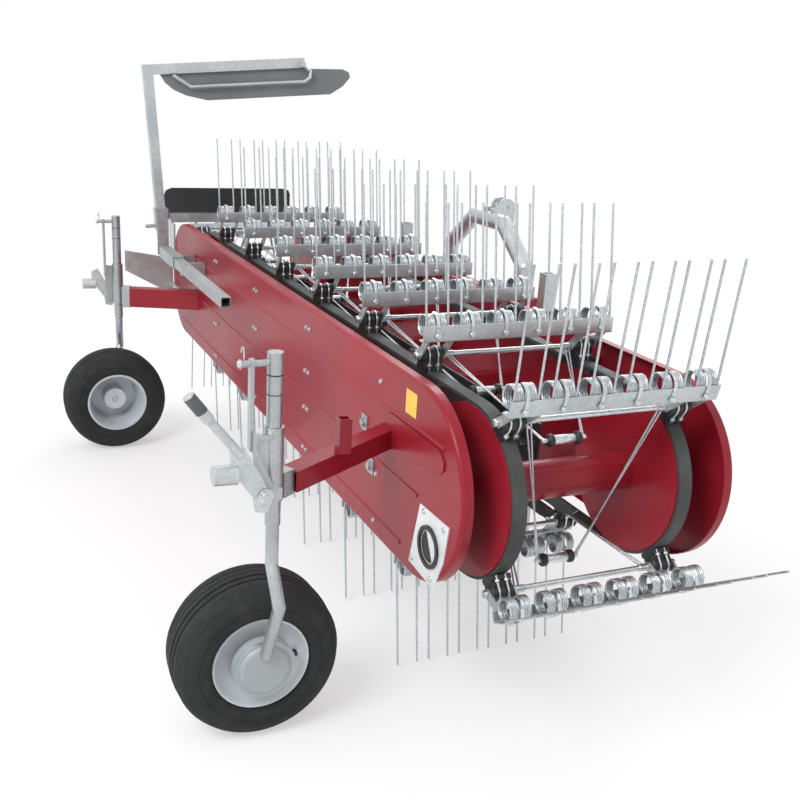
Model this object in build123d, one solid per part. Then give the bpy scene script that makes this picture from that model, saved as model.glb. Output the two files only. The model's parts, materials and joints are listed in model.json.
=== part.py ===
from build123d import *

import os
from math import cos, degrees, hypot, pi, radians, sin

os.makedirs("parts", exist_ok=True)

# Long oval body
# X runs along the machine, Y from the wheels to the tractor, Z is up from the ground.
axis_span = 2520.0
axis_height = 648.0
panel_height = 655.0
panel_radius = 245.0
panel_sheet = 3.0
panel_flange = 29.0
flange_round = 9.0
body_width = 711.0
near_axis = axis_span / 2
far_axis = -axis_span / 2
near_panel_arc = near_axis - 62.0
tractor_panel_arc = near_axis - 8.0
bead_heights = (-190.0, -30.0, 130.0)
bead_rise = 3.0
bead_width = 12.0

# Drums and the two flat belts
drum_radius = 210.0
drum_sheet = 4.0
drum_inset = 4.0
belt_width = 36.0
belt_thickness = 8.0
belt_gap = 0.3
belt_inset = 109.0
left_belt_y = belt_inset
right_belt_y = body_width - belt_inset - belt_width
shaft_radius = 50.0
stub_radius = 17.5
belt_outer = drum_radius + belt_gap + belt_thickness

# Tine bars, all sixteen fixed on the belts at one pitch
# Each bar runs ahead of its axle and above it, and carries six double spring tines.
bar_count = 16
bar_inset = 75.0
bar_left = bar_inset
bar_right = body_width - bar_inset
bar_face = 42.0
bar_foot = 26.0
bar_sheet = 3.0
bar_ahead = 60.0
bar_lift = 48.0
axle_offset = 256.0
axle_radius = 7.0
first_bar_x = near_axis - 276.0
spring_count = 6
spring_inset = 38.0
coil_radius = 28.0
coil_half = 33.0
coil_drop = 3.0
tine_side = 6.0
tine_reach = 388.0
tine_slant = 9.0
bush_radius = 22.0
bush_half = 30.0
lug_sheet = 5.0
arm_length = 330.0
track_offset = 112.0
roller_radius = 17.0
roller_width = 96.0
hang_radius = 204.0
hang_ahead = 133.0
rod_side = 6.0

# Wheels and their height legs
tyre_radius = 209.0
tyre_width = 175.0
rim_radius = 122.0
wheel_y = -369.0
near_wheel_x = near_axis - 160.0
far_wheel_x = far_axis + 270.0
leg_offset = 160.0
leg_radius = 17.5
foot_radius = 15.0
sleeve_radius = 22.0
sleeve_gap = 0.5
arm_side = 50.0
arm_wall = 4.0
arm_height = 710.0
sleeve_low = arm_height - 30.0
sleeve_high = arm_height + 140.0
leg_top = arm_height + 305.0
far_leg_top = arm_height + 245.0
cup_radius = 75.0
cup_depth = 28.0
axle_stub = 12.5

# Hitch and parking stands
hitch_x = -150.0
hitch_y = body_width + 274.0
lower_pin_height = 665.0
top_hole_height = 1125.0
lower_span = 683.0
lower_pin_radius = 11.0
lower_pin_length = 88.0
top_hole_radius = 9.7
stand_reach = 560.0
stand_y = body_width + 121.0
stand_top = 985.0


def block(x0, x1, y0, y1, z0, z1):
    return Pos((x0 + x1) / 2, (y0 + y1) / 2, (z0 + z1) / 2) * Box(x1 - x0, y1 - y0, z1 - z0)


def bar_between(p, q, radius):
    line = Vector(*q) - Vector(*p)
    return Solid.make_cylinder(radius, line.length, Plane(origin=p, z_dir=line))


def tube_between(p, q, radius, wall):
    return bar_between(p, q, radius) - bar_between(p, q, radius - wall)


def square_between(p, q, across, high, wall=0.0):
    line = Vector(*q) - Vector(*p)
    side = line.cross(Vector(0, 0, 1))
    if side.length < 1.0:
        side = Vector(1, 0, 0)
    plane = Plane(origin=p, x_dir=side, z_dir=line)
    body = extrude(plane * Rectangle(across, high), line.length)
    if wall:
        body -= extrude(plane * Rectangle(across - 2 * wall, high - 2 * wall), line.length)
    return body


def along_y(profile, y0, y1):
    return extrude(Plane.XZ.offset(-y0) * profile, -(y1 - y0))


def polygon_y(points, y0, y1):
    return along_y(make_face(Polyline(*points, close=True)), y0, y1)


def stadium(radius, y0, y1):
    profile = Pos(0, axis_height) * SlotCenterToCenter(axis_span, 2 * radius)
    return along_y(profile, y0, y1)


def panel_oval(near_arc, radius, y0, y1):
    profile = SlotCenterToCenter(near_arc - far_axis, 2 * radius)
    profile = Pos((near_arc + far_axis) / 2, panel_height) * profile
    return along_y(profile, y0, y1)


def ring_y(x, z, outer, inner, y0, y1):
    ring = bar_between((x, y0, z), (x, y1, z), outer)
    if inner:
        ring -= bar_between((x, y0, z), (x, y1, z), inner)
    return ring


# Side panels
# Pressed sheet with a rolled flange all round; the wheel side one has three raised beads along its face.
def side_panel(near_arc):
    shell = panel_oval(near_arc, panel_radius, 0.0, panel_flange)
    rim = [e for e in shell.edges() if abs(e.center().Y) < 0.1]
    shell = fillet(rim, flange_round)
    shell -= panel_oval(near_arc, panel_radius - panel_sheet, panel_sheet, panel_flange + 1.0)
    return shell


def bead(z, x0, x1):
    half = bead_width / 2
    ridge = [(-half, 0.0), (-half + bead_rise, bead_rise), (half - bead_rise, bead_rise), (half, 0.0)]
    plane = Plane(origin=(x0, 0, z), x_dir=(0, 0, 1), z_dir=(1, 0, 0))
    return extrude(plane * make_face(Polyline(*ridge, close=True)), x1 - x0)


left_panel = side_panel(near_panel_arc)
for rise, x0, x1 in (
    (bead_heights[0], far_axis - 60, near_panel_arc - 60),
    (bead_heights[1], far_axis - 150, near_panel_arc + 20),
    (bead_heights[2], far_axis - 110, near_panel_arc + 140),
):
    left_panel += bead(panel_height + rise, x0, x1)
right_panel = Pos(0, body_width, 0) * side_panel(tractor_panel_arc).mirror(Plane.XZ)


# Drums
# Each is two closed pulleys welded on one tube, with a stub shaft at either end.
stub_inset = 50.0
bearing_depth = 80.0


def drum(x):
    z = axis_height
    body = ring_y(x, z, shaft_radius, 0, left_belt_y, right_belt_y + belt_width)
    body += ring_y(x, z, stub_radius, 0, stub_inset, body_width - stub_inset)
    for y in (left_belt_y, right_belt_y):
        pulley = ring_y(x, z, drum_radius, 0, y - drum_inset, y + belt_width + drum_inset)
        pulley -= ring_y(x, z, drum_radius - drum_sheet, 0, y, y + belt_width)
        body += pulley
    return body


near_drum = drum(near_axis)
far_drum = drum(far_axis)


# Bearings
# Flanged bearing housings bolted inside the panels; the drum stubs end in them.
def bearing(x, y0, y1):
    return ring_y(x, axis_height, 45.0, stub_radius + 0.2, y0, y1)


bearings = [
    bearing(x, y0, y1)
    for x in (near_axis, far_axis)
    for y0, y1 in ((panel_sheet, bearing_depth), (body_width - bearing_depth, body_width - panel_sheet))
]


# Belts
def belt(y0):
    loop = stadium(belt_outer, y0, y0 + belt_width)
    return loop - stadium(drum_radius + belt_gap, y0 - 1, y0 + belt_width + 1)


left_belt = belt(left_belt_y)
right_belt = belt(right_belt_y)

# Belt support rails
# Flat slide rails that carry the upper run of each belt, on brackets from the panels.
rail_half = near_axis - 200.0
rail_low = axis_height + drum_radius - 16.0
rail_high = axis_height + drum_radius - 2.0
belt_rails = []
for y0, wall0, wall1 in (
    (left_belt_y, panel_sheet, left_belt_y + belt_width - 4),
    (right_belt_y, right_belt_y + 4, body_width - panel_sheet),
):
    rail = block(-rail_half, rail_half, y0 + 4, y0 + belt_width - 4, rail_low, rail_high)
    for x in (-0.85 * rail_half, -0.28 * rail_half, 0.28 * rail_half, 0.85 * rail_half):
        rail += block(x - 20, x + 20, wall0, wall1, rail_low - 6, rail_low)
    belt_rails.append(rail)

# Places along an oval loop
# line is the radius the travel is measured on, offset the radius the point stands off at.
belt_line = drum_radius + belt_gap + belt_thickness / 2
loop_length = 2 * axis_span + 2 * pi * belt_line
bar_pitch = loop_length / bar_count


def oval(along, line, offset):
    turn = pi * line
    along = along % (2 * axis_span + 2 * turn)
    if along < axis_span:
        return far_axis + along, axis_height + offset, 0.0
    along -= axis_span
    if along < turn:
        angle = along / line
        return near_axis + offset * sin(angle), axis_height + offset * cos(angle), degrees(angle)
    along -= turn
    if along < axis_span:
        return near_axis - along, axis_height - offset, 180.0
    angle = pi + (along - axis_span) / line
    return far_axis + offset * sin(angle), axis_height + offset * cos(angle), degrees(angle)


def tine_angle(outward):
    # the control track keeps the tines near upright round the turn and swings them late
    turned = ((0.0, 0.0), (33.0, 14.0), (140.0, 66.0), (180.0, 180.0), (213.0, 194.0), (320.0, 240.0), (360.0, 360.0))
    for (a0, b0), (a1, b1) in zip(turned, turned[1:]):
        if a0 <= outward <= a1:
            return b0 + (b1 - b0) * (outward - a0) / (a1 - a0)
    return outward


def roller_place(x, z, outward):
    # the guide roller runs ahead of its bar on the small oval of the track, one arm away,
    # and swings out below the shaft while its bar comes over the drum
    if 0.0 < outward % 180.0 < 90.0:
        centre = near_axis if outward < 180.0 else far_axis
        angle = radians(outward + hang_ahead)
        return centre + hang_radius * sin(angle), axis_height + hang_radius * cos(angle)
    if outward == 0.0:
        along = x - far_axis
    elif outward < 180.0:
        along = axis_span + radians(outward) * track_offset
    elif outward == 180.0:
        along = axis_span + pi * track_offset + near_axis - x
    else:
        along = 2 * axis_span + radians(outward) * track_offset
    while True:
        rx, rz, _ = oval(along, track_offset, track_offset)
        if hypot(rx - x, rz - z) >= arm_length:
            return rx, rz
        along += 1.0


# Tine bars
# Angle bar on lugs ahead of its pivot axle, with six double spring tines and two pairs of control rods.
left_clamp_y = left_belt_y + belt_width / 2
right_clamp_y = right_belt_y + belt_width / 2
clamp_gap = 0.3
lug_edges = (
    left_clamp_y - bush_half - clamp_gap - lug_sheet,
    left_clamp_y + bush_half + clamp_gap,
    right_clamp_y - bush_half - clamp_gap - lug_sheet,
    right_clamp_y + bush_half + clamp_gap,
)
middle_y = body_width / 2
face_back = bar_ahead - bar_sheet
coil_x = face_back - coil_radius
coil_z = bar_lift + bar_face - coil_drop
spring_pitch = (bar_right - bar_left - 2 * spring_inset) / (spring_count - 1)
lug_outline = [(-10, 8), (-10, -10), (8, -10), (face_back, bar_lift + 1), (bar_ahead - bar_foot, bar_lift + 1)]


def tine_bar():
    body = block(face_back, bar_ahead, bar_left, bar_right, bar_lift, bar_lift + bar_face)
    body += block(bar_ahead - bar_foot, bar_ahead, bar_left, bar_right, bar_lift, bar_lift + bar_sheet)
    body += ring_y(0, 0, axle_radius, 0, lug_edges[1], lug_edges[2] + lug_sheet)
    for y in lug_edges:
        body += polygon_y(lug_outline, y, y + lug_sheet)
    springs = []
    for i in range(spring_count):
        centre = bar_left + spring_inset + i * spring_pitch
        springs.append(along_y(Pos(coil_x, coil_z) * RegularPolygon(coil_radius, 8, major_radius=False),
                               centre - coil_half, centre + coil_half))
        for side in (-1, 1):
            y = centre + side * (coil_half - tine_side / 2)
            tine = block(-tine_side, 0, -tine_side / 2, tine_side / 2, 0, tine_reach - coil_z)
            springs.append(Pos(face_back, y, coil_z) * Rot(0, -tine_slant, 0) * tine)
    return body.fuse(*springs)


# Clamps
# Rubber bush round the axle on each belt, its flat base on the belt.
def clamp(y):
    low = belt_outer + clamp_gap - axle_offset
    half = 0.7 * bush_radius
    outline = [(-bush_radius - 2, low), (bush_radius + 2, low), (bush_radius, 4), (half, half), (0, bush_radius),
               (-half, half), (-bush_radius, 4)]
    return polygon_y(outline, y - bush_half, y + bush_half)


bar_model = tine_bar()
bars = []
rollers = []
clamps = []
for i in range(bar_count):
    along = first_bar_x - far_axis + i * bar_pitch
    x, z, outward = oval(along, belt_line, axle_offset)
    rx, rz = roller_place(x, z, outward)
    body = Pos(x, 0, z) * Rot(0, tine_angle(outward), 0) * bar_model
    for side, start in ((-1, lug_edges[1] + lug_sheet), (1, lug_edges[2])):
        for step in (0, 1):
            p = (x, start - side * (4 + step * 12), z)
            q = (rx, middle_y + side * (roller_width / 2 + 4 + rod_side * step), rz)
            body = body.fuse(square_between(p, q, rod_side, rod_side))
    bars.append((outward, body))
    rollers.append(along_y(Pos(rx, rz) * RegularPolygon(roller_radius, 12),
                           middle_y - roller_width / 2, middle_y + roller_width / 2))
    for y in (left_clamp_y, right_clamp_y):
        clamps.append(Pos(x, 0, z) * Rot(0, outward, 0) * clamp(y))

top_bars = [b for outward, b in bars if outward == 0.0]
bottom_bars = [b for outward, b in bars if outward == 180.0]
near_bars = [b for outward, b in bars if 0.0 < outward < 180.0]
far_bars = [b for outward, b in bars if outward > 180.0]

# Control track
# Two upright oval plates joined by spacers; the rollers run along their edge and leave it at the drums.
track_radius = track_offset - roller_radius
end_step = shaft_radius + 10.0
member_side = 50.0
member_places = [step * axis_span / 5.5 for step in (-2, -1, 0, 1, 2)]
spacer_places = [step * axis_span / 5.5 for step in (-2.4, -1.5, -0.5, 0.5, 1.5, 2.4)]
control_track = None
for y in (middle_y - 34, middle_y + 28):
    plate = stadium(track_radius, y, y + 6)
    for x0, x1 in ((near_axis - 130, near_axis + 200), (far_axis - 200, far_axis + 130)):
        plate -= block(x0, x1, y - 1, y + 7, axis_height - end_step, axis_height + 200)
    for x in member_places:
        half = member_side / 2 + 0.2
        plate -= block(x - half, x + half, y - 1, y + 7, axis_height - half, axis_height + half)
    control_track = plate if control_track is None else control_track + plate
for x in spacer_places:
    control_track += block(x - 25, x + 25, middle_y - 30, middle_y + 30, axis_height - 40, axis_height + 40)

# Cross members
# Square tubes through the loop from one panel to the other.
cross_members = [
    square_between((x, panel_sheet, axis_height), (x, body_width - panel_sheet, axis_height),
                   member_side, member_side, 4.0)
    for x in member_places
]


# Wheel arms
# Square tube welded to the panel, set at an angle out to the height sleeve.
def wheel_arm(leg_x, leg_y, arm_z, root_x, deep):
    root = Vector(root_x, 0, arm_z)
    leg = Vector(leg_x, leg_y, arm_z)
    line = (leg - root).normalized()
    start = root - line * 60
    end = leg - line * (sleeve_radius + 31)
    arm = square_between(start, end, arm_side, deep, arm_wall)
    arm -= block(root_x - 200, root_x + 200, 0, 200, arm_z - 100, arm_z + 100)
    for rise in bead_heights:
        low = panel_height + rise - bead_width / 2 - 0.2
        arm -= block(root_x - 200, root_x + 200, -bead_rise - 0.2, 1, low, low + bead_width + 0.4)
    tongue = square_between(end, leg - line * (sleeve_radius - 3), arm_side - 18, deep + 10)
    return arm, tongue, root + (leg - root) * 0.47


near_leg_place = (near_wheel_x + leg_offset, wheel_y - 6.0)
far_leg_place = (far_wheel_x - leg_offset, wheel_y + 55.0)
far_arm_height = arm_height - 97.0
far_arm_deep = 80.0
near_arm, near_tongue, stub_place = wheel_arm(*near_leg_place, arm_height, near_axis - 235, arm_side)
far_arm, far_tongue, _ = wheel_arm(*far_leg_place, far_arm_height, far_axis + 236, far_arm_deep)
stub_side = 30.0
stub_height = 85.0
near_arm += Pos(stub_place.X + 30, stub_place.Y, arm_height + arm_side / 2 + stub_height / 2) * (
    Box(stub_side, stub_side, stub_height) - Box(stub_side - 6, stub_side - 6, stub_height))


# Pivot pin of the height levers, measured from the leg's axis and the arm's height
pin_y = -28.0
pin_x = 34.0
pin_rise = -5.0
pin_radius = 9.0
top_pin_reach = -52.0


# Height sleeves
# Round tube on the arm's end with a folded strap that carries the pivot of the height lever.
def sleeve(leg_x, leg_y, arm_z, side, tongue):
    low = arm_z + sleeve_low - arm_height
    high = arm_z + sleeve_high - arm_height
    body = tube_between((leg_x, leg_y, low), (leg_x, leg_y, high), sleeve_radius,
                        sleeve_radius - leg_radius - sleeve_gap)
    strap = [(-10, high - 12), (-52, high - 8), (-52, high - 45), (pin_y - 16, arm_z + 10), (pin_y - 14, arm_z - 22),
             (14, arm_z - 24), (14, arm_z + 4), (-10, arm_z + 20), (-44, high - 40), (-44, high - 18),
             (-10, high - 22)]
    face = make_face(Polyline(*strap, close=True))
    x0 = min(side * (pin_x - 18), side * (pin_x - 10))
    body += extrude(Plane(origin=(leg_x + x0, leg_y, 0), x_dir=(0, 1, 0), z_dir=(1, 0, 0)) * face, 8)
    hollow = bar_between((leg_x, leg_y, low - 50), (leg_x, leg_y, high + 50), leg_radius + sleeve_gap)
    pin = bar_between((leg_x, leg_y + pin_y, arm_z + pin_rise), (leg_x + side * (pin_x + 30), leg_y + pin_y,
                      arm_z + pin_rise), pin_radius + 0.2)
    return body + tongue - hollow - pin


near_sleeve = sleeve(*near_leg_place, arm_height, 1, near_tongue)
far_sleeve = sleeve(*far_leg_place, far_arm_height, -1, far_tongue)


# Height levers
# Flat lever on its pivot pin with a socket tube; the long hand lever stands in the near one.
def height_lever(leg_x, leg_y, arm_z, side, handle):
    x0 = min(side * (pin_x - 9), side * (pin_x + 1))
    outline = [(pin_y - 22, arm_z - 40), (pin_y + 6, arm_z - 46), (pin_y + 18, arm_z - 14), (pin_y + 8, arm_z + 8),
               (-78, arm_z + 116), (-104, arm_z + 104), (-104, arm_z + 62), (pin_y - 26, arm_z - 8)]
    face = make_face(Polyline(*outline, close=True))
    body = extrude(Plane(origin=(leg_x + x0, leg_y, 0), x_dir=(0, 1, 0), z_dir=(1, 0, 0)) * face, 10)
    middle = leg_x + side * (pin_x - 4)
    body += bar_between((middle - side * 12, leg_y + pin_y, arm_z + pin_rise),
                        (middle + side * 26, leg_y + pin_y, arm_z + pin_rise), pin_radius)
    body += bar_between((middle, leg_y - 90, arm_z + 50), (middle, leg_y - 142, arm_z + 52), 22)
    if handle:
        body += bar_between((middle, leg_y - 82, arm_z + 92), (middle, leg_y - 160, arm_z + 190), 10)
        body += bar_between((middle, leg_y - 150, arm_z + 177), (middle, leg_y - 192, arm_z + 231), 13)
    return body


near_lever = height_lever(*near_leg_place, arm_height, 1, True)
far_lever = height_lever(*far_leg_place, far_arm_height, -1, False)


# Legs
# Upper tube that slides in the sleeve, cranked lower rod, and the cup over the wheel's hub.
def leg(leg_x, leg_y, arm_z, wheel_x, side, top, crank):
    start, elbow, outward = crank
    foot = wheel_x + side * (tyre_width / 2 + 24)
    body = bar_between((leg_x, leg_y, arm_z - 90), (leg_x, leg_y, top), leg_radius)
    path = ((leg_x, leg_y, arm_z - 70), (leg_x, leg_y, arm_z - start),
            (leg_x + side * outward, leg_y + 5, arm_z - elbow), (foot, wheel_y, tyre_radius + 45))
    for p, q in zip(path, path[1:]):
        body += bar_between(p, q, foot_radius)
        body += Pos(*q) * Sphere(foot_radius)
    face = wheel_x + side * (tyre_width / 2 - 14)
    cup = bar_between((face, wheel_y, tyre_radius), (face + side * cup_depth, wheel_y, tyre_radius), cup_radius)
    cup -= bar_between((face - side, wheel_y, tyre_radius), (face + side * (cup_depth - 5), wheel_y, tyre_radius),
                       cup_radius - 5)
    body += cup
    body += bar_between((wheel_x - side * 20, wheel_y, tyre_radius),
                        (face + side * cup_depth, wheel_y, tyre_radius), axle_stub)
    body += bar_between((leg_x, leg_y + top_pin_reach - 22, top - 23), (leg_x, leg_y, top - 23), 7)
    body += block(leg_x - 11, leg_x + 11, leg_y + top_pin_reach - 4, leg_y + top_pin_reach + 4, arm_z + 90,
                  top - 14)
    return body


near_leg = leg(*near_leg_place, arm_height, near_wheel_x, 1, leg_top, (190, 278, 45))
far_leg = leg(*far_leg_place, far_arm_height, far_wheel_x, -1, far_leg_top, (160, 220, 22))


# Wheels
# Plain ribbed tyre on a pressed steel rim with a central hub.
def spin(points, wheel_x, side):
    plane = Plane(origin=(wheel_x, wheel_y, tyre_radius), x_dir=(side, 0, 0), z_dir=(0, -1, 0))
    return revolve(plane * make_face(Polyline(*points, close=True)),
                   Axis((wheel_x, wheel_y, tyre_radius), (1, 0, 0)))


def tyre(wheel_x):
    half = tyre_width / 2
    outline = [(-half + 16, rim_radius + 1), (half - 16, rim_radius + 1), (half - 2, rim_radius + 22),
               (half, tyre_radius - 40), (half - 10, tyre_radius - 15), (half - 28, tyre_radius - 4),
               (half - 40, tyre_radius), (-half + 40, tyre_radius), (-half + 28, tyre_radius - 4),
               (-half + 10, tyre_radius - 15), (-half, tyre_radius - 40),
               (-half + 2, rim_radius + 22)]
    return spin(outline, wheel_x, 1)


def rim(wheel_x, side):
    half = tyre_width / 2
    bore = axle_stub + 0.5
    outline = [(-half + 10, rim_radius + 0.5), (-half + 10, rim_radius - 8), (-half + 30, rim_radius - 20),
               (half - 50, rim_radius - 24), (half - 38, rim_radius - 34), (half - 38, 45), (-20, 45), (-20, bore),
               (half - 24, bore), (half - 24, 34), (half - 30, 40), (half - 30, rim_radius - 34),
               (half - 24, rim_radius - 20), (half - 10, rim_radius - 8), (half - 10, rim_radius + 0.5)]
    return spin(outline, wheel_x, side)


near_tyre = tyre(near_wheel_x)
far_tyre = tyre(far_wheel_x)
near_rim = rim(near_wheel_x, 1)
far_rim = rim(far_wheel_x, -1)

# Cover plate
# Galvanised plate bolted low on the near end of the outer panel, round opening in a dark ring.
cover_outline = [(-17, -33), (134, -30), (118, -128), (76, -212), (-58, -202)]
hole_x = near_axis + 44.0
hole_z = axis_height - 118.0
cover = polygon_y([(near_axis + x, axis_height + z) for x, z in cover_outline], -4.0, -0.2)
cover -= ring_y(hole_x, hole_z, 42, 0, -6, 1)
cover_ring = ring_y(hole_x, hole_z, 52, 42, -10, -4.2)
cover_cap = ring_y(hole_x, hole_z, 41.5, 0, -3.5, -0.2)

# Curtain reach slide
# Square tube that slides through a guide along the outer panel and carries the mast.
slide_side = 36.0
slide_y = -120.0
slide_z = arm_height + 100.0
slide_near_x = far_axis + 1165.0
slide_far_x = far_axis + 130.0
slide_tube = square_between((slide_near_x, slide_y, slide_z), (slide_far_x, slide_y, slide_z),
                            slide_side, slide_side, 3.0)
guide = square_between((far_axis + 420, slide_y, slide_z), (far_axis + 160, slide_y, slide_z),
                       slide_side + 9, slide_side + 9, 4.0)
for x in (far_axis + 180, far_axis + 360):
    guide += block(x, x + 40, slide_y + slide_side / 2 + 2, -bead_rise - 0.2, slide_z - 60, slide_z - 10)

# End board
# Sheet board that closes the space between the panel's far end and the far leg.
board_x = far_axis - 232.0
board_outline = [(-225, 750), (-70, 722), (-12, 697), (-4, 690), (-4, 556), (-70, 572), (-225, 658)]
board = Plane(origin=(board_x, 0, 0), x_dir=(0, 1, 0), z_dir=(1, 0, 0))
board = extrude(board * make_face(Polyline(*board_outline, close=True)), 4.0)
board += block(board_x, board_x + 232, -16, -4, 580, 600)
board += block(board_x + 100, board_x + 232, -16, -0.2, 580, 600)

# Mast and curtain
# Leaning square mast through a clamp on the slide's end, top arm across the machine, hoop rod and the rubber flap.
mast_side = 38.0
mast_x = far_axis + 100.0
mast_y = slide_y + 7.0
mast_lean = 4.2
arm_rise = 1.2
mast_low = slide_z - 4.0
mast_top = slide_z + 716.0
arm_reach = 672.0
mast_frame = Pos(0, mast_y, slide_z) * Rot(mast_lean, 0, 0) * Pos(0, 0, -slide_z)
arm_frame = mast_frame * Pos(0, 0, mast_top) * Rot(arm_rise, 0, 0)
clamp_side = mast_side + 12
mast_clamp = square_between((mast_x, 0, slide_z + 83), (mast_x, 0, slide_z + 178), clamp_side, clamp_side, 5.5)
mast_clamp += bar_between((mast_x, -clamp_side / 2, slide_z + 104), (mast_x, -68, slide_z + 104), 8)
slide_tube += mast_frame * mast_clamp
clamp_face = mast_x + clamp_side / 2 - 1
slide_tube += block(clamp_face, slide_far_x, slide_y - 24, slide_y + 24, slide_z - 18, slide_z + 176)
mast = mast_frame * square_between((mast_x, 0, mast_low), (mast_x, 0, mast_top), mast_side, mast_side, 3.0)
top_arm = block(mast_x - mast_side / 2, mast_x + mast_side / 2, -mast_side / 2, arm_reach, -2, mast_side)
hoop_x = mast_x + mast_side / 2 + 8.0
hoop_radius = 7.0
hoop = [(97, 10), (97, -6), (169, -56), (664, -58), (690, -42), (694, -20), (664, 8)]
for (y0, z0), (y1, z1) in zip(hoop, hoop[1:]):
    top_arm += bar_between((hoop_x, y0, z0), (hoop_x, y1, z1), hoop_radius)
    top_arm += Pos(hoop_x, y1, z1) * Sphere(hoop_radius)
for y in (97, arm_reach - 12):
    top_arm += block(mast_x + mast_side / 2 - 1, hoop_x + 7, y - 14, y + 14, 2, 18)
mast += arm_frame * top_arm
flap_drop = ((50, -2.3), (67, -35), (100, -65), (150, -90), (238, -114), (788, -118), (848, -88), (885, -53),
             (880, -31), (852, -17), (696, -8), (672, -2.3))
flap = Plane(origin=(mast_x - 3, 0, 0), x_dir=(0, 1, 0), z_dir=(1, 0, 0))
curtain = arm_frame * extrude(flap * make_face(Polyline(*flap_drop, close=True)), 6.0)

# End guard
# Square cross tube over the far end with an upright rubber sheet behind it, its top corners cut round.
guard_x = far_axis - 262.0
guard_tube = block(guard_x - 20, guard_x + 20, -8, body_width + 10, 874, 914)
for y in (-8.0, body_width):
    guard_tube += block(guard_x - 20, far_axis - 180, y, y + 7.8, 700, 875)
guard_outline = [(-30, 884), (-30, 990), (-19, 1016), (8, 1027), (556, 1027), (575, 1019), (583, 1000), (583, 884)]
guard_plane = Plane(origin=(guard_x - 28.3, 0, 0), x_dir=(0, 1, 0), z_dir=(1, 0, 0))
guard_sheet = extrude(guard_plane * make_face(Polyline(*guard_outline, close=True)), 8.0)

# Hitch
# Bent tube arch with the top-link bracket, two uprights with lower pins, on brackets off the panel.
upright_half = lower_span / 2 - 30.0
mast_plane = body_width + 199.0
arch_foot = lower_pin_height + 185.0
headstock = None
for side in (-1, 1):
    x = hitch_x + side * upright_half
    upright = block(x - 30, x + 30, mast_plane - 30, mast_plane + 30, lower_pin_height - 135, arch_foot)
    for z0, z1 in ((-135, -55), (65, 125)):
        upright += block(x - 30, x + 30, body_width, mast_plane - 30, lower_pin_height + z0, lower_pin_height + z1)
    headstock = upright if headstock is None else headstock + upright
for z0, z1 in ((-125, -85), (125, 165)):
    headstock += block(hitch_x - upright_half, hitch_x + upright_half, mast_plane - 20, mast_plane + 20,
                       lower_pin_height + z0, lower_pin_height + z1)
for side in (-1, 1):
    x = hitch_x + side * (upright_half + 30)
    headstock += block(min(x, x - side * 12), max(x, x - side * 12), mast_plane + 30, hitch_y + 45,
                       lower_pin_height - 45, lower_pin_height + 45)
    headstock += block(min(x - side * 60, x), max(x - side * 60, x), mast_plane + 20, mast_plane + 35,
                       lower_pin_height - 45, lower_pin_height + 45)
    headstock += bar_between((x, hitch_y, lower_pin_height),
                             (x + side * lower_pin_length, hitch_y, lower_pin_height), lower_pin_radius)
arch_radius = 30.0
arch_knee = top_hole_height - 175.0
arch_crown = top_hole_height - 45.0
arch_points = [(-300, arch_foot), (-286, arch_knee), (-112, arch_crown), (112, arch_crown), (286, arch_knee),
               (300, arch_foot)]
arch = None
for (x0, z0), (x1, z1) in zip(arch_points, arch_points[1:]):
    piece = bar_between((hitch_x + x0, mast_plane, z0), (hitch_x + x1, mast_plane, z1), arch_radius)
    if (x1, z1) != arch_points[-1]:
        piece += Pos(hitch_x + x1, mast_plane, z1) * Sphere(arch_radius)
    arch = piece if arch is None else arch + piece
arch -= block(hitch_x - 400, hitch_x + 400, mast_plane - 40, mast_plane + 40, arch_foot - 20, arch_foot)
hole_y = mast_plane + 55.0
for side in (-1, 1):
    x = hitch_x + side * 26
    ear = block(x - 5, x + 5, mast_plane - 10, hole_y + 35, arch_crown - 10, top_hole_height)
    ear += bar_between((x - 5, hole_y, top_hole_height), (x + 5, hole_y, top_hole_height), 35)
    ear -= bar_between((x - 9, hole_y, top_hole_height), (x + 9, hole_y, top_hole_height), top_hole_radius)
    arch += ear

# Parking stands
# Square leg in a sleeve on a bracket off the panel, with a flat foot on the ground.
stand_side = 40.0
stand_sleeves = []
stands = []
for side in (-1, 1):
    x = hitch_x + side * stand_reach
    near_face = stand_y - stand_side / 2 - 4.5
    holder = square_between((x, stand_y, 690), (x, stand_y, 860), stand_side + 9, stand_side + 9, 4.0)
    holder += block(x - 22, x + 22, body_width, near_face, 720, 830)
    stand_sleeves.append(holder)
    foot = square_between((x, stand_y, 8), (x, stand_y, stand_top), stand_side, stand_side, 3.0)
    foot += block(x - 50, x + 50, stand_y - 50, stand_y + 50, 0, 8)
    stands.append(foot)

# Drive motor
# Hydraulic motor flanged on the tractor side panel at the far drum.
motor = ring_y(far_axis, axis_height, 55, 0, body_width + 0.2, body_width + 14)
motor += ring_y(far_axis, axis_height, 42, 0, body_width + 14, body_width + 130)
motor += block(far_axis - 25, far_axis + 25, body_width + 60, body_width + 120, axis_height, axis_height + 62)

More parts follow.
